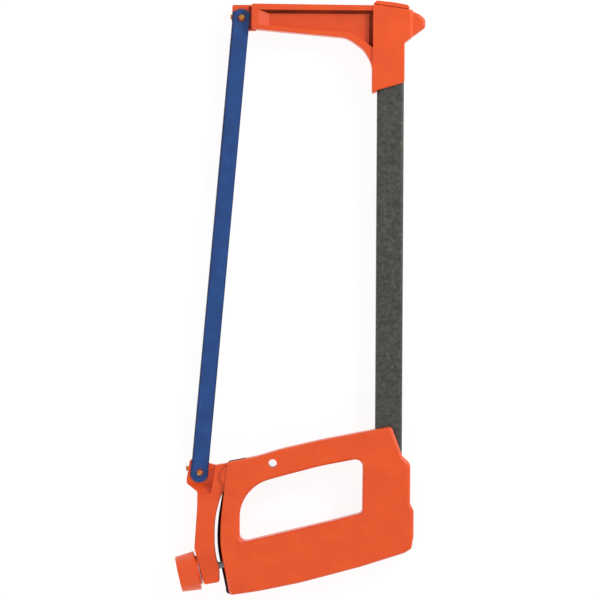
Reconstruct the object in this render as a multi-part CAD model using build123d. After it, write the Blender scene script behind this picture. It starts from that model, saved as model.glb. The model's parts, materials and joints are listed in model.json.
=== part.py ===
from build123d import *
import os
from math import cos, radians, sin, tan

# Hacksaw with a tubular spine, a cast front arm, and a two-shell cast handle that carries a
# bell-crank tension lever. The saw lies on its side: +Y runs along the spine towards the front,
# +X from the blade towards the spine, and +Z up, across the saw's thickness. Everything is drawn
# about the saw's middle plane (z = 0) and moved at the end, so that the origin is at the middle of
# the bounding box's bottom. All lengths are millimetres.

# Blade
HOLE_PITCH = 300.0
BLADE_WIDTH = 11.6
BLADE_THICK = 0.65
BLADE_HOLE_R = 2.2
HOLE_OFFSET = 0.45
FRONT_OVERHANG = 5.9
REAR_OVERHANG = 6.6
TOOTH_PITCH = 25.4 / 24
TOOTH_DEPTH = 0.5

# Blade pins. Each one bears on the outer side of its hole, and PIN_GAP is left there. The blade
# turns a little on them within the play of its holes, so it lies at BLADE_TILT and they at PIN_TILT.
PIN_R = 1.7
PIN_GAP = 0.05
PIN_TOP = 3.2
PIN_ROOT = -6.0
PIN_TILT = 4.95
BLADE_TILT = 4.9
SIDE_PIN_Z = -4.2
SIDE_PIN_STAND = 1.2
SIDE_PIN_TIP_R = 0.3
SIDE_PIN_ROOT_R = 1.3
SIDE_PIN_DEPTH = 4.0
FRONT_SIDE_PIN_Y = 184.2
REAR_SIDE_PIN_Y = -113.0
LEVER_SIDE_X = -73.2
FRONT_PIN = Vector(-39.3, 183.8)
SHELF_Z = -BLADE_THICK / 2 - 0.1

# Spine tube
TUBE_X = 58.65
TUBE_WIDTH = 17.7
TUBE_DEPTH = 11.0
TUBE_WALL = 1.2
TUBE_FRONT_Y = 187.0
TUBE_REAR_Y = -132.0
TUBE_FIT = 0.05
PEG_Y = -112.0
PEG_R = 2.4

# Front casting
ARM_HALF = 8.5
HEAD_HALF = 10.0
NOSE_HALF = 7.5
BLOCK_BACK = -7.5
BLOCK_LEFT = -45.6
ARM_LEFT = -32.9
PANEL_DEPTH = 5.0
RIVET_R = 2.0
RIVET_HEAD_R = 3.2
RIVET_YS = (150.0, 176.0)

# Handle
HANDLE_HALF = 13.0
HANDLE_WALL = 3.0
HANDLE_EDGE_R = 2.4
HANGING_HOLE = Vector(-17.3, -109.0)
HANGING_HOLE_R = 2.75
SCREW_PLACES = (
    (-30.5, -113.6), (14.0, -103.0), (58.6, -139.5), (60.5, -158.5), (5.0, -168.8), (-27.0, -184.5),
)
SCREW_R = 1.75
SCREW_HEAD_R = 3.4
SCREW_HEAD_HEIGHT = 2.4
SCREW_TIP_Z = 8.0

# Tension lever and its hinge
PIVOT = Vector(-45.0, -117.2)
LEVER_HALF = 8.0
KNUCKLE_R = 8.5
PIVOT_PIN_R = 3.0
WASHER_THICK = 0.5

# Tension screw (M5). Its axis is measured from a point on it, outwards to the knob being negative.
AXIS_POINT = Vector(-50.0, -176.1)
AXIS_TILT = 13.0
SCREW_PITCH = 0.8
THREAD_R = 2.5
THREAD_FIT = 0.05
LEVER_FACE = -15.0
THRUST_GAP = 0.1
THRUST_THICK = 1.0
THRUST_R = 8.0
KNOB_RIM = -16.85
KNOB_END = -29.4
KNOB_RIM_R = 12.9
KNOB_END_R = 11.7
KNOB_DOME = 0.5
HEX_FLATS = 8.0
HEX_HEIGHT = 3.4
NUT_PLACE = 12.3
NUT_R = 5.0
NUT_HALF = 9.0
SCREW_END = 21.0

PARTS = {}


def corner_arc(before, corner, after, radius):
    """Start, middle and end of the arc that rounds a corner."""
    to_before = (before - corner).normalized()
    to_after = (after - corner).normalized()
    half = radians(to_before.get_angle(to_after) / 2)
    run = radius / tan(half)
    middle = corner + (to_before + to_after).normalized() * (radius / sin(half) - radius)
    return corner + to_before * run, middle, corner + to_after * run


def rounded_face(corners):
    """Face of a closed outline of (x, y, radius) corners."""
    points = [Vector(x, y) for x, y, radius in corners]
    count = len(points)
    arcs = []
    for i in range(count):
        arcs.append(corner_arc(points[i - 1], points[i], points[(i + 1) % count], corners[i][2]))
    edges = []
    for i in range(count):
        edges.append(Edge.make_line(arcs[i - 1][2], arcs[i][0]))
        if corners[i][2] > 0:
            edges.append(Edge.make_three_point_arc(*arcs[i]))
    return Face(Wire(edges))


def slab(face, low, high):
    """Solid between two heights on a flat outline."""
    return Pos(0, 0, low) * extrude(face, high - low, dir=(0, 0, 1))


def soft_slab(face, half, radius):
    """Slab of the outline, from -half to +half, with both rims rounded."""
    body = slab(face, -half, half)
    return fillet(body.faces().sort_by(Axis.Z)[0].edges() + body.faces().sort_by(Axis.Z)[-1].edges(), radius)


def block(x0, x1, y0, y1, z0, z1):
    """Box between two corners."""
    return Pos(x0, y0, z0) * Box(x1 - x0, y1 - y0, z1 - z0, align=(Align.MIN, Align.MIN, Align.MIN))


def rod(radius, length):
    """Cylinder that stands on the origin."""
    return Cylinder(radius, length, align=(Align.CENTER, Align.CENTER, Align.MIN))


def post(place, radius, z0, z1):
    """Upright cylinder at a place, between two heights."""
    return Pos(place.X, place.Y, z0) * rod(radius, z1 - z0)


def rod_x(x0, x1, y, z, radius):
    """Cylinder along X."""
    return Pos(x0, y, z) * Rot(0, 90, 0) * rod(radius, x1 - x0)


def wedge_x(x0, x1, y_z):
    """Prism along X on a (y, z) triangle."""
    side = Face(Wire.make_polygon([(x0, y, z) for y, z in y_z]))
    return extrude(side, x1 - x0, dir=(1, 0, 0))


def wedge_y(y0, y1, x_z):
    """Prism along Y on an (x, z) triangle."""
    side = Face(Wire.make_polygon([(x, y0, z) for x, z in x_z]))
    return extrude(side, y1 - y0, dir=(0, 1, 0))


def on_axis(place):
    """Location on the tension screw's axis, with local +Z along the axis into the handle."""
    along = Vector(cos(radians(AXIS_TILT)), sin(radians(AXIS_TILT)), 0)
    return Location(Plane(origin=AXIS_POINT + along * place, x_dir=(0, 0, 1), z_dir=along))


def axial(radius, start, end):
    """Cylinder about the tension screw's axis."""
    return on_axis(start) * rod(radius, end - start)


def hexagon_on_axis(flats, start, end):
    """Hexagonal prism about the tension screw's axis."""
    return on_axis(start) * extrude(RegularPolygon(flats / 2, 6, major_radius=False), end - start)


# Where the two blade pins are, and the middle of the blade
pin_way = Vector(sin(radians(PIN_TILT)), cos(radians(PIN_TILT)))
pin_shift = BLADE_HOLE_R - PIN_R - PIN_GAP
rear_pin = FRONT_PIN - pin_way * (HOLE_PITCH + 2 * pin_shift)
blade_middle = (FRONT_PIN + rear_pin) / 2


def hacksaw_blade():
    """Flat blade with two holes, a pointed front end, a round rear end and teeth on the cutting edge."""
    toothed = -BLADE_WIDTH / 2 - HOLE_OFFSET
    back = BLADE_WIDTH / 2 - HOLE_OFFSET
    front = HOLE_PITCH / 2 + FRONT_OVERHANG
    rear = -HOLE_PITCH / 2 - REAR_OVERHANG
    straight = rear + 4.5
    back_edge = [(back, straight), (back, front - 2.3), (1.5, front), (-1.8, front), (toothed, front - 2.3)]
    teeth = []
    tooth_y = front - 9.0
    while tooth_y > rear + 15.0:
        teeth.append((toothed, tooth_y))
        teeth.append((toothed + TOOTH_DEPTH, tooth_y - TOOTH_PITCH * 0.75))
        tooth_y -= TOOTH_PITCH
    teeth.append((toothed, tooth_y))
    teeth.append((toothed, straight))
    edges = Polyline(*back_edge, *teeth).edges()
    edges.append(Edge.make_three_point_arc((toothed, straight), (-HOLE_OFFSET, rear), (back, straight)))
    blade = slab(Face(Wire(edges)), -BLADE_THICK / 2, BLADE_THICK / 2)
    for hole_y in (-HOLE_PITCH / 2, HOLE_PITCH / 2):
        blade -= post(Vector(0, hole_y), BLADE_HOLE_R, -1, 1)
    return Pos(blade_middle.X, blade_middle.Y, 0) * Rot(0, 0, -BLADE_TILT) * blade


def blade_pin(place):
    """Pin that stands up from a shelf through the blade, with a rounded tip and a centre dimple."""
    pin = post(place, PIN_R, PIN_ROOT, PIN_TOP)
    pin = fillet(pin.edges().sort_by(Axis.Z)[-1], 0.5)
    return pin - Pos(place.X, place.Y, PIN_TOP + 0.5) * Sphere(0.95)


def side_pin(face_x, y):
    """Shouldered pin that points away from the spine, for a blade turned by a right angle."""
    pin = rod_x(face_x - SIDE_PIN_STAND, face_x, y, SIDE_PIN_Z, PIN_R)
    pin = fillet(pin.edges().sort_by(Axis.X)[0], SIDE_PIN_TIP_R)
    return pin + rod_x(face_x, face_x + SIDE_PIN_DEPTH, y, SIDE_PIN_Z, SIDE_PIN_ROOT_R)


def pin_holes(place, face_x, y):
    """Holes for one blade pin and one side pin."""
    upright = post(place, PIN_R + 0.01, PIN_ROOT - 0.1, 20)
    level = rod_x(face_x - 0.1, face_x + SIDE_PIN_DEPTH + 0.1, y, SIDE_PIN_Z, SIDE_PIN_ROOT_R + 0.01)
    return upright + level


def spine_tube():
    """Rectangular tube with a locating hole in each wide wall near its rear end."""
    outer = RectangleRounded(TUBE_WIDTH, TUBE_DEPTH, 2.2)
    inner = RectangleRounded(TUBE_WIDTH - 2 * TUBE_WALL, TUBE_DEPTH - 2 * TUBE_WALL, 1.0)
    tube = extrude(outer - inner, TUBE_FRONT_Y - TUBE_REAR_Y)
    tube = Pos(TUBE_X, TUBE_REAR_Y, 0) * Rot(-90, 0, 0) * tube
    tube -= post(Vector(TUBE_X, PEG_Y), PEG_R + 0.1, -TUBE_DEPTH, TUBE_DEPTH)
    for y in RIVET_YS:
        tube -= post(Vector(TUBE_X, y), RIVET_R + 0.01, -TUBE_DEPTH, 0)
    return tube


def panel_pocket():
    """Hollow in the arm's upper side. Its top, right and left walls slope, and the lower one is upright."""
    floor = ARM_HALF - PANEL_DEPTH
    rim = HEAD_HALF + 0.1
    outline = rounded_face([
        (-28.3, 188.5, 0.3), (47.0, 188.3, 0.3), (47.0, 163.6, 0.3), (34.0, 174.1, 14),
        (12.9, 174.8, 60), (-28.3, 178.8, 0.3),
    ])
    pocket = slab(outline, floor, rim)
    pocket -= wedge_x(-30.0, 50.0, [(186.3, floor), (188.6, ARM_HALF), (188.6, floor)])
    pocket -= wedge_y(150.0, 200.0, [(44.4, floor), (47.1, ARM_HALF), (47.1, floor)])
    return pocket - wedge_y(150.0, 200.0, [(-21.3, floor), (-28.4, ARM_HALF), (-28.4, floor)])


def front_casting():
    """Arm with recessed panels, shelf for the blade, head that grips the tube, and nose."""
    arm = rounded_face([
        (ARM_LEFT, 176.0, 1.5), (ARM_LEFT, 192.5, 1.5), (50.0, 191.8, 0), (50.0, 140.0, 0),
        (46.4, 140.0, 0), (46.4, 153.2, 16), (40.9, 162.6, 16), (30.0, 170.4, 16),
    ])
    head = rounded_face([
        (46.4, 192.5, 1.5), (73.3, 188.7, 1.5), (73.3, 171.6, 1.5), (67.7, 167.3, 1.5),
        (67.7, 141.2, 2.0), (50.4, 136.2, 2.0), (46.4, 133.1, 1.2),
    ])
    nose = rounded_face([
        (64.0, 190.1, 0), (71.0, 189.0, 4), (77.6, 186.0, 4), (81.2, 182.8, 2.6), (81.25, 177.5, 2.3),
        (64.0, 164.8, 0),
    ])
    casting = soft_slab(arm, ARM_HALF, 1.0) + soft_slab(head, HEAD_HALF, 0.8) + soft_slab(nose, NOSE_HALF, 2.2)
    # The head slopes down to the nose, and the panels are the same on both sides.
    step = wedge_y(160.0, 200.0, [(71.2, HEAD_HALF), (74.0, HEAD_HALF + 1), (73.35, NOSE_HALF)])
    for cut in (step, panel_pocket()):
        casting -= cut
        casting -= mirror(cut, about=Plane.XY)
    # Shelf that the blade lies on, with a groove behind the blade's back edge.
    shelf = block(BLOCK_LEFT, ARM_LEFT + 3.0, 175.1, 192.0, BLOCK_BACK, SHELF_Z)
    casting += fillet(shelf.edges().filter_by(Axis.Z).sort_by(Axis.X)[:2], 1.2)
    casting -= block(ARM_LEFT - 1.8, ARM_LEFT, 175.9, 190.6, -5.0, 5.0)
    casting -= pin_holes(FRONT_PIN, BLOCK_LEFT, FRONT_SIDE_PIN_Y)
    # The tube's seat is open towards the spine's outer side below the nose.
    left = TUBE_X - TUBE_WIDTH / 2 - TUBE_FIT
    right = TUBE_X + TUBE_WIDTH / 2 + TUBE_FIT
    side = TUBE_DEPTH / 2 + TUBE_FIT
    casting -= block(left, right, 130, 200, -side, side)
    casting -= block(right - 1, right + 5, 130, 167.3, -side, side)
    for y in RIVET_YS:
        casting -= post(Vector(TUBE_X, y), RIVET_R + 0.01, -20, 0)
        casting -= post(Vector(TUBE_X, y), RIVET_HEAD_R + 0.1, -20, 1.4 - HEAD_HALF)
    return casting


def casting_rivets():
    """Rivets set flush in the casting's back, that reach through the tube's near wall only."""
    tip = 0.4 - (TUBE_DEPTH / 2 - TUBE_WALL)
    rivets = []
    for y in RIVET_YS:
        rivet = post(Vector(TUBE_X, y), RIVET_R, -HEAD_HALF + 1.4, tip)
        rivet += post(Vector(TUBE_X, y), RIVET_HEAD_R, 0.3 - HEAD_HALF, 1.4 - HEAD_HALF)
        rivets.append(rivet)
    return Compound(rivets)


def tube_cap():
    """Cap on the head's sloping top, with a stem that plugs the tube."""
    flange = rounded_face([
        (47.0, 192.75, 0.3), (49.4, 194.9, 1.2), (62.0, 193.5, 20), (69.5, 192.1, 1.2),
        (70.7, 190.7, 0.9), (70.6, 189.45, 0.3),
    ])
    cap = soft_slab(flange, HEAD_HALF - 1.0, 0.25)
    stem_x = TUBE_WIDTH / 2 - TUBE_WALL - 0.2
    stem_z = TUBE_DEPTH / 2 - TUBE_WALL - 0.2
    stem = block(TUBE_X - stem_x, TUBE_X + stem_x, 183.0, 190.5, -stem_z, stem_z)
    return cap + fillet(stem.edges().filter_by(Axis.Y), 1.0)


def handle_outline(cheek_x, belly_x, foot_x):
    """Side view of one shell. The edge beside the lever bulges by an amount that differs by side."""
    return rounded_face([
        (-47.0, -108.25, 2.5), (-28.0, -104.55, 40), (-12.0, -99.65, 120), (13.7, -93.55, 150),
        (60.4, -84.35, 2.6), (67.8, -104.05, 2.5), (73.0, -108.55, 5.5), (72.9, -134.75, 3),
        (75.3, -139.15, 5), (75.3, -156.25, 20), (74.0, -164.35, 2.5), (69.3, -167.25, 6),
        (40.5, -176.5, 150), (1.1, -187.1, 150), (-25.2, -192.6, 100), (foot_x, -195.65, 2.5),
        (belly_x, -163.75, 75), (cheek_x, -146.25, 110),
    ])


def finger_opening():
    """Outline of the opening that the fingers go through."""
    return rounded_face([
        (41.9, -105.05, 5), (41.6, -141.15, 2.5), (20.0, -146.95, 150), (-38.7, -161.25, 4.5),
        (-38.8, -125.35, 26), (-13.0, -117.75, 120), (14.0, -110.55, 150),
    ])


def handle_shell(cheek_x, belly_x, foot_x):
    """One cast half of the handle, on the +Z side, without its screw holes."""
    outline = handle_outline(cheek_x, belly_x, foot_x)
    opening = finger_opening()
    shell = slab(outline, 0, HANDLE_HALF) - slab(opening, -1, HANDLE_HALF + 1)
    shell = fillet(shell.faces().sort_by(Axis.Z)[-1].edges(), HANDLE_EDGE_R)
    cavity = offset(outline, -HANDLE_WALL) - offset(opening, HANDLE_WALL)
    cavity += Pos(-52.0, -146.0) * Rectangle(18.0, 92.0)
    cavity += Pos(-48.0, -112.0) * Rectangle(26.0, 24.0)
    cavity -= Pos(60.0, -107.0) * Rectangle(36.0, 53.5)
    shell -= slab(cavity, -1, HANDLE_HALF - HANDLE_WALL)
    floor = HANDLE_HALF - HANDLE_WALL + 0.5
    # Bosses: hanging hole, shell screws, lever hinge, barrel nut.
    shell += post(HANGING_HOLE, HANGING_HOLE_R + 1.8, 0, floor)
    for x, y in SCREW_PLACES:
        shell += post(Vector(x, y), SCREW_R + 2.2, 0, floor)
    shell += post(PIVOT, PIVOT_PIN_R + 3.5, LEVER_HALF + WASHER_THICK + 0.1, floor)
    nut = on_axis(NUT_PLACE).position
    shell += post(nut, NUT_R + 2.3, NUT_HALF - 3.0, floor)
    shell -= post(nut, NUT_R + 0.05, 0, NUT_HALF + 0.05)
    shell -= post(HANGING_HOLE, HANGING_HOLE_R, -1, HANDLE_HALF + 1)
    # Seat for the tube, with a peg that enters the tube's locating hole.
    side = TUBE_DEPTH / 2 + TUBE_FIT
    left = TUBE_X - TUBE_WIDTH / 2 - TUBE_FIT
    right = TUBE_X + TUBE_WIDTH / 2 + TUBE_FIT
    shell -= block(left, right, TUBE_REAR_Y - TUBE_FIT, -80, -1, side)
    shell += post(Vector(TUBE_X, PEG_Y), PEG_R, TUBE_DEPTH / 2 - TUBE_WALL, side + 0.5)
    return shell


def handle_shell_left():
    """Half of the handle on the upper side, with blind holes."""
    shell = handle_shell(-51.1, -51.4, -44.9)
    for x, y in SCREW_PLACES:
        shell -= post(Vector(x, y), SCREW_R + 0.05, -1, SCREW_TIP_Z + 0.5)
    return shell - post(PIVOT, PIVOT_PIN_R + 0.01, -1, 11.1)


def handle_shell_right():
    """Half of the handle on the lower side, with counterbores for the screw heads."""
    shell = mirror(handle_shell(-53.2, -54.0, -47.0), about=Plane.XY)
    head_seat = -HANDLE_HALF + 3.0
    for x, y in SCREW_PLACES:
        shell += post(Vector(x, y), SCREW_HEAD_R + 2.0, -HANDLE_HALF + 1.0, head_seat + 2.5)
        shell -= post(Vector(x, y), SCREW_R + 0.05, -20, 1)
        shell -= post(Vector(x, y), SCREW_HEAD_R + 0.3, -20, head_seat)
    return shell - post(PIVOT, PIVOT_PIN_R + 0.01, -20, 1)


def handle_screws():
    """Pan-head screws with a hexagon socket, driven from the lower side."""
    head_seat = -HANDLE_HALF + 3.0
    screws = []
    for x, y in SCREW_PLACES:
        place = Vector(x, y)
        head = post(place, SCREW_HEAD_R, head_seat - SCREW_HEAD_HEIGHT, head_seat)
        head = fillet(head.edges().sort_by(Axis.Z)[0], 0.8)
        socket = extrude(RegularPolygon(1.25, 6, major_radius=False), 2.4)
        socket = Pos(x, y, head_seat - SCREW_HEAD_HEIGHT - 1) * socket
        screws.append(head + post(place, SCREW_R, head_seat, SCREW_TIP_Z) - socket)
    return Compound(screws)


def lever_pivot_pin():
    """Hinge pin, blind on the upper side and flush with the lower one."""
    return post(PIVOT, PIVOT_PIN_R, 0.3 - HANDLE_HALF, 11.0)


def pivot_washers():
    """One thin washer on each side of the lever."""
    washers = []
    for low in (LEVER_HALF + 0.05, -LEVER_HALF - 0.05 - WASHER_THICK):
        hole = post(PIVOT, PIVOT_PIN_R + 0.1, low - 1, low + 2)
        washers.append(post(PIVOT, 6.0, low, low + WASHER_THICK) - hole)
    return Compound(washers)


def tension_lever():
    """Bell crank: a head with the blade's shelf, a knuckle on the hinge, and a long curved arm."""
    outline = rounded_face([
        (-71.7, -106.5, 2), (-73.9, -120.0, 6), (-73.8, -122.8, 1.0), (-66.6, -128.1, 2.5),
        (-66.7, -138.0, 40), (-68.4, -165.0, 6), (-61.9, -189.0, 2), (-51.7, -187.1, 1.5),
        (-52.2, -176.8, 3), (-53.9, -172.5, 6), (-55.3, -163.5, 50), (-55.3, -145.5, 60),
        (-51.3, -130.8, 30), (-45.5, -121.0, 0), (-45.5, -108.9, 0), (-55.0, -110.5, 0.6),
    ])
    lever = soft_slab(outline, LEVER_HALF, 0.5)
    knuckle = post(PIVOT, KNUCKLE_R, -LEVER_HALF, LEVER_HALF)
    lever += knuckle
    shelf = rounded_face([
        (-80.0, -100.0, 0), (-54.9, -100.0, 0), (-54.9, -112.0, 30), (-57.9, -130.5, 0), (-80.0, -130.5, 0),
    ])
    # The shelf's floor slopes up to the lever's face behind the blade's end.
    ramp = wedge_x(-81.0, -54.0, [(-123.0, SHELF_Z), (-130.0, LEVER_HALF), (-131.0, SHELF_Z)])
    ramp += block(-81.0, -54.0, -131.0, -130.0, SHELF_Z - 1, LEVER_HALF)
    lever -= slab(shelf, SHELF_Z, 20) - ramp
    lever -= post(PIVOT, PIVOT_PIN_R + 0.05, -20, 20)
    lever -= axial(THREAD_R + 0.7, LEVER_FACE - 5, 5)
    lever -= axial(THRUST_R + 2.2, LEVER_FACE - 8, LEVER_FACE)
    return lever - pin_holes(rear_pin, LEVER_SIDE_X, REAR_SIDE_PIN_Y)


def trunnion_nut():
    """Barrel nut, cross-drilled and tapped for the tension screw."""
    place = on_axis(NUT_PLACE).position
    barrel = post(place, NUT_R, -NUT_HALF, NUT_HALF)
    barrel = chamfer(barrel.edges(), 0.4)
    return barrel - axial(THREAD_R, NUT_PLACE - 8, NUT_PLACE + 8)


def tension_screw():
    """Hexagon-head screw with a chamfered tip."""
    shank = axial(THREAD_R - THREAD_FIT, KNOB_END + 5.0, SCREW_END)
    shank = chamfer(shank.edges().sort_by(Axis.X)[-1], 0.6)
    return shank + hexagon_on_axis(HEX_FLATS, KNOB_END + 5.0 - HEX_HEIGHT, KNOB_END + 5.0)


def thrust_washer():
    """Flat washer between knob and lever."""
    top = LEVER_FACE - THRUST_GAP
    return axial(THRUST_R, top - THRUST_THICK, top) - axial(THREAD_R + 0.2, top - 5, top + 5)


def tension_knob():
    """Conical knob with a hexagon pocket for the screw's head and a seat for the washer."""
    length = KNOB_RIM - KNOB_END
    standing = (Align.CENTER, Align.CENTER, Align.MIN)
    body = on_axis(KNOB_END) * Cone(KNOB_END_R, KNOB_RIM_R, length, align=standing)
    body = fillet(body.edges().sort_by(Axis.X)[0], 0.6)
    # The inner face is slightly domed.
    body += on_axis(KNOB_RIM) * Cone(KNOB_RIM_R, THRUST_R + 1.6, KNOB_DOME, align=standing)
    body += axial(THRUST_R + 1.6, KNOB_RIM - 1, LEVER_FACE - 0.4)
    body -= axial(THRUST_R + 0.1, LEVER_FACE - THRUST_GAP - THRUST_THICK - 0.05, 0)
    body -= axial(THREAD_R, KNOB_END, 0)
    body -= hexagon_on_axis(HEX_FLATS + 0.1, KNOB_END + 4.95 - HEX_HEIGHT, KNOB_END + 5.0)
    return body - axial(5.6, KNOB_END - 1, KNOB_END + 4.95 - HEX_HEIGHT)


def knob_cap():
    """Round plug that covers the screw's head."""
    cap = axial(5.5, KNOB_END + 0.1, KNOB_END + 1.5)
    return fillet(cap.edges().sort_by(Axis.X)[0], 0.3)


PARTS["hacksaw_blade"] = hacksaw_blade()
PARTS["front_blade_pin"] = blade_pin(FRONT_PIN)
PARTS["front_side_pin"] = side_pin(BLOCK_LEFT, FRONT_SIDE_PIN_Y)
PARTS["rear_blade_pin"] = blade_pin(rear_pin)
PARTS["rear_side_pin"] = side_pin(LEVER_SIDE_X, REAR_SIDE_PIN_Y)
PARTS["spine_tube"] = spine_tube()
PARTS["front_casting"] = front_casting()
PARTS["casting_rivets"] = casting_rivets()
PARTS["tube_cap"] = tube_cap()
PARTS["handle_shell_left"] = handle_shell_left()
PARTS["handle_shell_right"] = handle_shell_right()
PARTS["handle_screws"] = handle_screws()
PARTS["lever_pivot_pin"] = lever_pivot_pin()
PARTS["pivot_washers"] = pivot_washers()
PARTS["tension_lever"] = tension_lever()
PARTS["trunnion_nut"] = trunnion_nut()
PARTS["tension_screw"] = tension_screw()
PARTS["thrust_washer"] = thrust_washer()
PARTS["tension_knob"] = tension_knob()
PARTS["knob_cap"] = knob_cap()

# Move everything so that the origin is at the middle of the bounding box's bottom.
boxes = [shape.bounding_box() for shape in PARTS.values()]
low = Vector(min(b.min.X for b in boxes), min(b.min.Y for b in boxes), min(b.min.Z for b in boxes))
high = Vector(max(b.max.X for b in boxes), max(b.max.Y for b in boxes), max(b.max.Z for b in boxes))
SHIFT = Vector(-(low.X + high.X) / 2, -(low.Y + high.Y) / 2, -low.Z)

os.makedirs("parts", exist_ok=True)
for name, shape in PARTS.items():
    export_step(Pos(SHIFT.X, SHIFT.Y, SHIFT.Z) * shape, "parts/" + name + ".step")
print("size", high - low, "shift", SHIFT)
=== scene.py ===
import json
import math

import bmesh
import bpy
from mathutils import Matrix, Vector
from mathutils.bvhtree import BVHTree


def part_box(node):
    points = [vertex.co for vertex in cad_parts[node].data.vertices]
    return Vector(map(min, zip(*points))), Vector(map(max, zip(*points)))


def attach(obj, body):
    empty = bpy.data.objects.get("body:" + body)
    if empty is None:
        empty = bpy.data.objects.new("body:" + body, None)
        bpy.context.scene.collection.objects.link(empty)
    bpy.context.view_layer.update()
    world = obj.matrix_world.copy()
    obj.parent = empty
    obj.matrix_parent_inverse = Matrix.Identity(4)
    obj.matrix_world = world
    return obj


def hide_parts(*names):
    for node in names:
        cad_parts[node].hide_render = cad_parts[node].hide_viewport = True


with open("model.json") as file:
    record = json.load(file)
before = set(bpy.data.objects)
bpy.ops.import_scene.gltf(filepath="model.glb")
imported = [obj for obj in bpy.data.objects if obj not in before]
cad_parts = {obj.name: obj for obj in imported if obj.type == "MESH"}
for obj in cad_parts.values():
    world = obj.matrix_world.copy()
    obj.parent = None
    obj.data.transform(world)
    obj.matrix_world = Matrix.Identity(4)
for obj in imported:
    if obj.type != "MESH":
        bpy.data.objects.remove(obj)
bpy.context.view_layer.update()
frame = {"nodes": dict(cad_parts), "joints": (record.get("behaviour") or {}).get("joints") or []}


# ---- Handle ---------------------------------------------------------------------------------
# Two halves, pressure die-cast in aluminium, deburred, degreased and powder-coated orange.
# Six screws hold the halves. The inside gets a dark finish that stands in for its deep shade.

MM = 0.001


def linear(code):
    """sRGB hex colour as a linear RGBA tuple."""
    parts = [int(code[i:i + 2], 16) / 255 for i in (0, 2, 4)]
    return tuple(c / 12.92 if c <= 0.04045 else ((c + 0.055) / 1.055) ** 2.4 for c in parts) + (1.0,)


def add(tree, kind, settings=None, links=None):
    """Adds a shader node, sets its sockets or properties, and links its inputs."""
    made = tree.nodes.new(kind)
    for name, value in (settings or {}).items():
        if isinstance(name, int) or name in made.inputs:
            made.inputs[name].default_value = value
        else:
            setattr(made, name, value)
    for name, source in (links or {}).items():
        tree.links.new(source, made.inputs[name])
    return made


def ramp(tree, factor, stops):
    """Colour ramp through (position, hex colour) stops."""
    made = add(tree, "ShaderNodeValToRGB", links={"Fac": factor})
    marks = made.color_ramp.elements
    while len(marks) < len(stops):
        marks.new(0.5)
    for mark, (place, code) in zip(marks, stops):
        mark.position = place
        mark.color = linear(code)
    return made.outputs["Color"]


def noise_mm(tree, coords, feature, detail=2.0, roughness=0.5):
    """Noise whose features are about that many millimetres wide."""
    made = add(tree, "ShaderNodeTexNoise",
               {"Scale": 1 / (feature * MM), "Detail": detail, "Roughness": roughness}, {"Vector": coords})
    return made.outputs["Fac"]


def new_material(name):
    """Empty node material: its tree, shader and object coordinates."""
    made = bpy.data.materials.new(name)
    made.use_nodes = True
    tree = made.node_tree
    coords = add(tree, "ShaderNodeTexCoord").outputs["Object"]
    return made, tree, tree.nodes["Principled BSDF"], coords


def powder_coat(name, dark, middle, light, gloss):
    """Polyester powder coat over cast aluminium: even colour, fine orange peel, soft gloss."""
    made, tree, shader, coords = new_material(name)
    cloud = noise_mm(tree, coords, 14.0, 3.0)
    speck = noise_mm(tree, coords, 0.8, 2.0)
    colour = ramp(tree, cloud, [(0.30, dark), (0.50, middle), (0.70, light)])
    tree.links.new(colour, shader.inputs["Base Color"])
    rough = add(tree, "ShaderNodeMapRange",
                {"From Min": 0.3, "From Max": 0.7, "To Min": gloss - 0.05, "To Max": gloss + 0.07},
                {"Value": speck})
    tree.links.new(rough.outputs["Result"], shader.inputs["Roughness"])
    peel = add(tree, "ShaderNodeBump", {"Strength": 0.25, "Distance": 0.05 * MM},
               {"Height": noise_mm(tree, coords, 1.6, 1.0)})
    tree.links.new(peel.outputs["Normal"], shader.inputs["Normal"])
    shader.inputs["IOR"].default_value = 1.5
    shader.inputs["Coat Weight"].default_value = 0.1
    shader.inputs["Coat Roughness"].default_value = 0.12
    return made


def plain_finish(name, dark, light, feature, roughness, metallic=0.0, bump=0.03):
    """Matt or metallic finish with a fine cloudy tone."""
    made, tree, shader, coords = new_material(name)
    tone = noise_mm(tree, coords, feature, 3.0)
    tree.links.new(ramp(tree, tone, [(0.35, dark), (0.65, light)]), shader.inputs["Base Color"])
    grain = add(tree, "ShaderNodeBump", {"Strength": 0.3, "Distance": bump * MM}, {"Height": tone})
    tree.links.new(grain.outputs["Normal"], shader.inputs["Normal"])
    shader.inputs["Roughness"].default_value = roughness
    shader.inputs["Metallic"].default_value = metallic
    return made


ORANGE_COAT = powder_coat("orange_powder_coat", "dc4801", "e24b01", "e75003", 0.38)
# Painted shade: a near-black red for the inside of the handle, where its shade falls.
PAINTED_SHADE_INSIDE = plain_finish("painted_shade_inside_handle", "240200", "300500", 2.0, 0.8)


def merged_copy(node, name):
    """Copy of a CAD node as one welded mesh, without needless edges on its flat faces."""
    mesh = bpy.data.meshes.new(name)
    shape = bmesh.new()
    shape.from_mesh(frame["nodes"][node].data)
    bmesh.ops.remove_doubles(shape, verts=shape.verts, dist=0.002 * MM)
    bmesh.ops.dissolve_limit(shape, angle_limit=math.radians(0.5), verts=shape.verts, edges=shape.edges)
    shape.to_mesh(mesh)
    shape.free()
    piece = bpy.data.objects.new(name, mesh)
    bpy.context.scene.collection.objects.link(piece)
    return piece


def eased(piece, width, materials, angle=28):
    """Rounds the sharp edges a little, as casting and coating do, and shades it smooth."""
    for material in materials:
        piece.data.materials.append(material)
    bevel = piece.modifiers.new("eased_edges", "BEVEL")
    bevel.width = width * MM
    bevel.segments = 2
    bevel.limit_method = "ANGLE"
    bevel.angle_limit = math.radians(angle)
    bevel.harden_normals = False
    for face in piece.data.polygons:
        face.use_smooth = True
    smooth = piece.modifiers.new("weighted", "WEIGHTED_NORMAL")
    smooth.keep_sharp = True
    return piece


def stand_in(piece, node, body):
    """The piece takes a CAD node's place."""
    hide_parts(node)
    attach(piece, body)


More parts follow.
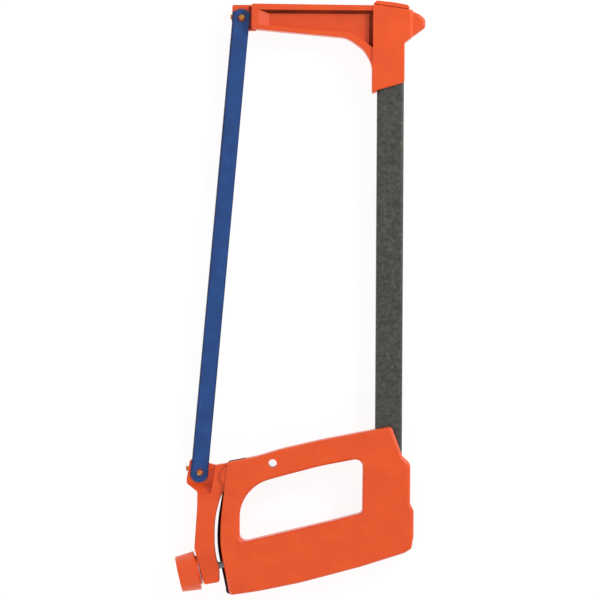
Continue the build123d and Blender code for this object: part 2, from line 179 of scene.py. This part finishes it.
def darken_inside(piece, walls):
    """Gives the second material, a painted shade, to the faces that lie between walls above and below."""
    shape = bmesh.new()
    for wall in walls:
        shape.from_mesh(wall.data)
    tree = BVHTree.FromBMesh(shape)
    shape.free()
    for face in piece.data.polygons:
        start = face.center + face.normal * 0.05 * MM
        above, below = (tree.ray_cast(start, Vector((0, 0, way)))[0] for way in (1, -1))
        if above is not None and below is not None:
            face.material_index = 1


handle_left = merged_copy("handle_shell_left", "handle_left_half")
handle_right = merged_copy("handle_shell_right", "handle_right_half")
for half in (handle_left, handle_right):
    eased(half, 0.25, [ORANGE_COAT, PAINTED_SHADE_INSIDE])
# Painted shade: the right half's faces that look up, towards the left half, get the dark colour.
for face in handle_right.data.polygons:
    if face.normal.z > 0.7:
        face.material_index = 1
for half, node in ((handle_left, "handle_shell_left"), (handle_right, "handle_shell_right")):
    darken_inside(half, [handle_left, handle_right])
    stand_in(half, node, "frame")


# ---- Front casting --------------------------------------------------------------------------
# The arm, head and nose are one aluminium die casting with the same orange powder coat. A darker
# coat on the recessed panels' top wall and the wall beside the head stands in for their shade.

# Painted shade: a darker orange for the panels' steep walls.
PAINTED_SHADE_COAT = powder_coat("orange_powder_coat_painted_shade", "541800", "6a2000", "842a02", 0.5)
front = eased(merged_copy("front_casting", "front_arm"), 0.3, [ORANGE_COAT, PAINTED_SHADE_COAT])
front_low, front_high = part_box("front_casting")
middle_z = (front_low.z + front_high.z) / 2
TOP_WALL_Y = front_high.y - 5.1 * MM
RIGHT_WALL_X = front_high.x - 35.6 * MM
RIGHT_WALL_END_Y = front_high.y - 30 * MM
# The steep top wall and right wall of each panel get the darker coat, a painted shade.
for face in front.data.polygons:
    place = face.center
    sloped = abs(face.normal.z) > 0.2 and 3.4 * MM < abs(place.z - middle_z) < 8.4 * MM
    top_wall = face.normal.y < -0.5 and abs(place.y - TOP_WALL_Y) < 2.5 * MM
    right_wall = face.normal.x < -0.5 and abs(place.x - RIGHT_WALL_X) < 2 * MM and place.y > RIGHT_WALL_END_Y
    if sloped and (top_wall or right_wall):
        face.material_index = 1
stand_in(front, "front_casting", "frame")


# ---- Tension lever --------------------------------------------------------------------------
# A bell crank, die-cast in the same aluminium as the handle, trimmed at its parting line and
# powder-coated with the rest.

lever = eased(merged_copy("tension_lever", "lever_arm"), 0.3, [ORANGE_COAT])
stand_in(lever, "tension_lever", "lever")


# ---- Spine tube -----------------------------------------------------------------------------
# Rectangular drawn steel tube, 1.2 mm thick, sprayed with a dark grey hammered enamel that
# dries mottled and slightly glossy.

def hammered_enamel():
    """Hammered enamel: shallow dimples a few millimetres wide, and a mottled dark grey."""
    made, tree, shader, coords = new_material("hammered_grey_enamel")
    dimple = add(tree, "ShaderNodeTexVoronoi",
                 {"feature": "SMOOTH_F1", "Scale": 1 / (1.6 * MM), "Smoothness": 0.8},
                 {"Vector": coords}).outputs["Distance"]
    mottle = noise_mm(tree, coords, 2.5, 5.0, 0.65)
    colour = ramp(tree, mottle, [(0.30, "2c2d28"), (0.45, "3e3f3a"), (0.58, "484a43"), (0.75, "616558")])
    tree.links.new(colour, shader.inputs["Base Color"])
    bump = add(tree, "ShaderNodeBump", {"Strength": 0.5, "Distance": 0.12 * MM}, {"Height": dimple})
    tree.links.new(bump.outputs["Normal"], shader.inputs["Normal"])
    shader.inputs["Roughness"].default_value = 0.42
    shader.inputs["Metallic"].default_value = 0.25
    return made


ENAMEL = hammered_enamel()
tube = eased(merged_copy("spine_tube", "spine"), 0.1, [ENAMEL], 40)
stand_in(tube, "spine_tube", "frame")


# ---- Blade ----------------------------------------------------------------------------------
# Steel strip with milled teeth in a wavy set. Blue lacquer is rolled on along its length, and
# both long edges are coloured darker.

def blue_lacquer(axis_turn, middle):
    """Blue lacquer: streaks along the blade, and both long edges coloured darker."""
    made, tree, shader, coords = new_material("blue_blade_lacquer")
    local = add(tree, "ShaderNodeMapping",
                {"vector_type": "TEXTURE", "Location": middle, "Rotation": (0, 0, axis_turn)},
                {"Vector": coords}).outputs["Vector"]
    streaks = add(tree, "ShaderNodeMapping", {"Scale": (1, 0.02, 1)}, {"Vector": local}).outputs["Vector"]
    streak = noise_mm(tree, streaks, 0.9, 3.0)
    cloud = noise_mm(tree, local, 9.0, 3.0)
    across = add(tree, "ShaderNodeSeparateXYZ", links={"Vector": local}).outputs["X"]
    side = add(tree, "ShaderNodeMath", {"operation": "ABSOLUTE"}, {0: across}).outputs["Value"]
    edge = add(tree, "ShaderNodeMapRange", {"From Min": 4.4 * MM, "From Max": 5.6 * MM},
               {"Value": side}).outputs["Result"]
    mixed = add(tree, "ShaderNodeMath", {"operation": "MULTIPLY_ADD", 1: 0.6},
                {0: streak, 2: cloud}).outputs["Value"]
    body = ramp(tree, mixed, [(0.60, "013674"), (0.80, "023c7c"), (1.00, "054486")])
    rim = ramp(tree, mixed, [(0.60, "02103c"), (1.00, "041a50")])
    colour = add(tree, "ShaderNodeMix", {"data_type": "RGBA"}, {0: edge, 6: body, 7: rim}).outputs[2]
    tree.links.new(colour, shader.inputs["Base Color"])
    bump = add(tree, "ShaderNodeBump", {"Strength": 0.2, "Distance": 0.02 * MM}, {"Height": streak})
    tree.links.new(bump.outputs["Normal"], shader.inputs["Normal"])
    shader.inputs["Roughness"].default_value = 0.45
    return made


joints = {joint["name"]: joint for joint in frame["joints"]}
pin_low, pin_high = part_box("rear_blade_pin")
rear_pin = (pin_low + pin_high) / 2
pin_low, pin_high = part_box("front_blade_pin")
front_pin = (pin_low + pin_high) / 2
blade_middle = (rear_pin + front_pin) / 2
blade_turn = math.atan2(rear_pin.x - front_pin.x, front_pin.y - rear_pin.y)
BLUE = blue_lacquer(blade_turn, blade_middle)
blade = merged_copy("hacksaw_blade", "toothed_blade")
# Wavy set: the tooth tips lean to either side in turn, so the cut is wider than the strip.
SET = 0.22 * MM
SET_WAVE = 8.5 * MM
TIP_LINE = 6.1 * MM
TOOTHED_HALF = 141 * MM
to_blade = Matrix.Rotation(-blade_turn, 3, "Z")
for vertex in blade.data.vertices:
    local = to_blade @ (vertex.co - blade_middle)
    if local.x < -TIP_LINE and abs(local.y) < TOOTHED_HALF:
        vertex.co.z += SET * math.sin(2 * math.pi * local.y / SET_WAVE)
eased(blade, 0.05, [BLUE], 60)
stand_in(blade, "hacksaw_blade", "blade")


# ---- Small steel parts ----------------------------------------------------------------------
# Pins, rivets, screws, nut and washers, turned or cold-headed in steel and zinc-plated. The
# blade pins and side pins are yellow-passivated.

ZINC = plain_finish("zinc_plate", "c4c8ca", "dadddf", 0.6, 0.36, 1.0, 0.01)
YELLOW_ZINC = plain_finish("yellow_passivated_zinc", "b9793a", "d99a55", 0.6, 0.3, 0.9, 0.01)
for node, material in (("front_blade_pin", YELLOW_ZINC), ("rear_blade_pin", YELLOW_ZINC),
                       ("front_side_pin", YELLOW_ZINC), ("rear_side_pin", YELLOW_ZINC),
                       ("casting_rivets", ZINC), ("handle_screws", ZINC), ("lever_pivot_pin", ZINC),
                       ("pivot_washers", ZINC), ("trunnion_nut", ZINC), ("thrust_washer", ZINC)):
    holder = frame["nodes"][node]
    holder.data.materials.clear()
    holder.data.materials.append(material)


# ---- Tension screw --------------------------------------------------------------------------
# Hexagon-head M5 steel screw with a rolled 0.8 mm thread along its whole shank, zinc-plated.
# Its head sits in the knob.

def screw_axis():
    """Frame of the screw: its local Z runs along the axis, from the knob into the handle."""
    joint = joints["knob_spin"]
    along = -Vector(joint["axis"]).normalized()
    side = Vector((0, 0, 1))
    turn = Matrix((side, along.cross(side), along)).transposed().to_4x4()
    return Matrix.Translation(Vector(joint["pos_m"])) @ turn


def threaded_shank(shape, start, end, major, pitch):
    """Helical thread: one zigzag profile swept a full turn while it advances by one pitch."""
    count = int((end - start) / pitch) - 1
    depth = 0.61 * pitch
    flat = 0.12 * pitch
    profile = []
    for i in range(count):
        low = start + i * pitch
        profile += [(major, low), (major, low + flat), (major - depth, low + 0.5 * pitch),
                    (major - depth, low + 0.5 * pitch + flat)]
    profile.append((major, start + count * pitch))
    verts = [shape.verts.new((r * MM, 0, z * MM)) for r, z in profile]
    edges = [shape.edges.new(pair) for pair in zip(verts, verts[1:])]
    steps = 32
    bmesh.ops.spin(shape, geom=verts + edges, cent=(0, 0, 0), axis=(0, 0, 1),
                   dvec=(0, 0, pitch * MM / steps), angle=2 * math.pi, steps=steps, use_merge=False)
    bmesh.ops.remove_doubles(shape, verts=shape.verts, dist=0.005 * MM)
    rims = [edge for edge in shape.edges if edge.is_boundary]
    bmesh.ops.holes_fill(shape, edges=rims, sides=0)


SHANK_START = -24.4
SHANK_END = 21.0
HEAD_START = -27.75
HEAD_HEIGHT = 3.3
HEX_CORNER_R = 4.61
shape = bmesh.new()
threaded_shank(shape, SHANK_START, SHANK_END, 2.44, 0.8)
head = bmesh.ops.create_circle(shape, cap_ends=True, segments=6, radius=HEX_CORNER_R * MM)["verts"]
bmesh.ops.translate(shape, verts=head, vec=(0, 0, HEAD_START * MM))
lifted = bmesh.ops.extrude_face_region(shape, geom=list({face for vert in head for face in vert.link_faces}))
bmesh.ops.translate(shape, verts=[item for item in lifted["geom"] if isinstance(item, bmesh.types.BMVert)],
                    vec=(0, 0, HEAD_HEIGHT * MM))
bmesh.ops.recalc_face_normals(shape, faces=shape.faces)
bmesh.ops.transform(shape, matrix=screw_axis(), verts=shape.verts)
screw_mesh = bpy.data.meshes.new("threaded_screw")
shape.to_mesh(screw_mesh)
shape.free()
screw = bpy.data.objects.new("threaded_screw", screw_mesh)
bpy.context.scene.collection.objects.link(screw)
screw_mesh.materials.append(ZINC)
for face in screw_mesh.polygons:
    face.use_smooth = True
keen = screw.modifiers.new("keen_edges", "EDGE_SPLIT")
keen.split_angle = math.radians(25)
stand_in(screw, "tension_screw", "knob")


# ---- Knob and caps --------------------------------------------------------------------------
# The knob, its plug and the tube's cap are moulded in orange ABS, a little glossier than the
# coated castings.

def moulded_abs():
    """Moulded ABS: even orange, fine spark texture, satin gloss."""
    made, tree, shader, coords = new_material("orange_abs")
    tone = ramp(tree, noise_mm(tree, coords, 8.0), [(0.3, "e04a06"), (0.7, "e8520c")])
    tree.links.new(tone, shader.inputs["Base Color"])
    spark = add(tree, "ShaderNodeBump", {"Strength": 0.2, "Distance": 0.03 * MM},
                {"Height": noise_mm(tree, coords, 0.5)})
    tree.links.new(spark.outputs["Normal"], shader.inputs["Normal"])
    shader.inputs["Roughness"].default_value = 0.38
    shader.inputs["IOR"].default_value = 1.54
    return made


ABS = moulded_abs()
for node, name, body, slot in (("tension_knob", "thumb_knob", "knob", "knob_plastic"),
                               ("knob_cap", "knob_plug", "knob", "knob_plastic"),
                               ("tube_cap", "spine_cap", "cap", "cap_plastic")):
    piece = eased(merged_copy(node, name), 0.2, [ABS], 35)
    stand_in(piece, node, body)


# ---- Bench, light and camera ----------------------------------------------------------------
# A white light table, an even white surround, one soft light from the upper right, and two low
# strip lights for the rims.

bench_mesh = bpy.data.meshes.new("bench")
shape = bmesh.new()
bmesh.ops.create_grid(shape, x_segments=1, y_segments=1, size=3.0)
shape.to_mesh(bench_mesh)
shape.free()
bench = bpy.data.objects.new("bench", bench_mesh)
bpy.context.scene.collection.objects.link(bench)
bench_mesh.materials.append(plain_finish("white_light_table", "5c5c5c", "606060", 40.0, 0.9))
table_shader = bench_mesh.materials[0].node_tree.nodes["Principled BSDF"]
table_shader.inputs["Emission Color"].default_value = linear("ffffff")
table_shader.inputs["Emission Strength"].default_value = 0.90

scene = bpy.context.scene
scene.view_settings.view_transform = "Standard"
world = bpy.data.worlds.new("studio")
world.use_nodes = True
world.node_tree.nodes["Background"].inputs["Color"].default_value = (1, 1, 1, 1)
world.node_tree.nodes["Background"].inputs["Strength"].default_value = 0.70
scene.world = world


def area_light(name, energy, size, place):
    """Square area light that points at the saw's middle."""
    data = bpy.data.lights.new(name, "AREA")
    data.energy = energy
    data.size = size
    light = bpy.data.objects.new(name, data)
    light.location = place
    light.rotation_euler = (-Vector(place)).to_track_quat("-Z", "Y").to_euler()
    scene.collection.objects.link(light)


area_light("key", 9.5, 0.35, (0.85, 0.7, 1.0))
area_light("fill", 2.6, 0.2, (-0.85, -0.65, 0.35))
area_light("rim", 1.0, 0.25, (1.0, 0.25, 0.22))

VIEW_DISTANCE = 3.0
VIEW_WIDTH = 0.3945
camera_data = bpy.data.cameras.new("overhead")
camera_data.sensor_width = 36.0
camera_data.lens = 36.0 * VIEW_DISTANCE / VIEW_WIDTH
camera_data.clip_end = 20.0
camera = bpy.data.objects.new("overhead", camera_data)
camera.location = (-0.00002, -0.00159, VIEW_DISTANCE + 0.013)
camera.rotation_euler = (0, 0, math.radians(0.33))
scene.collection.objects.link(camera)
scene.camera = camera
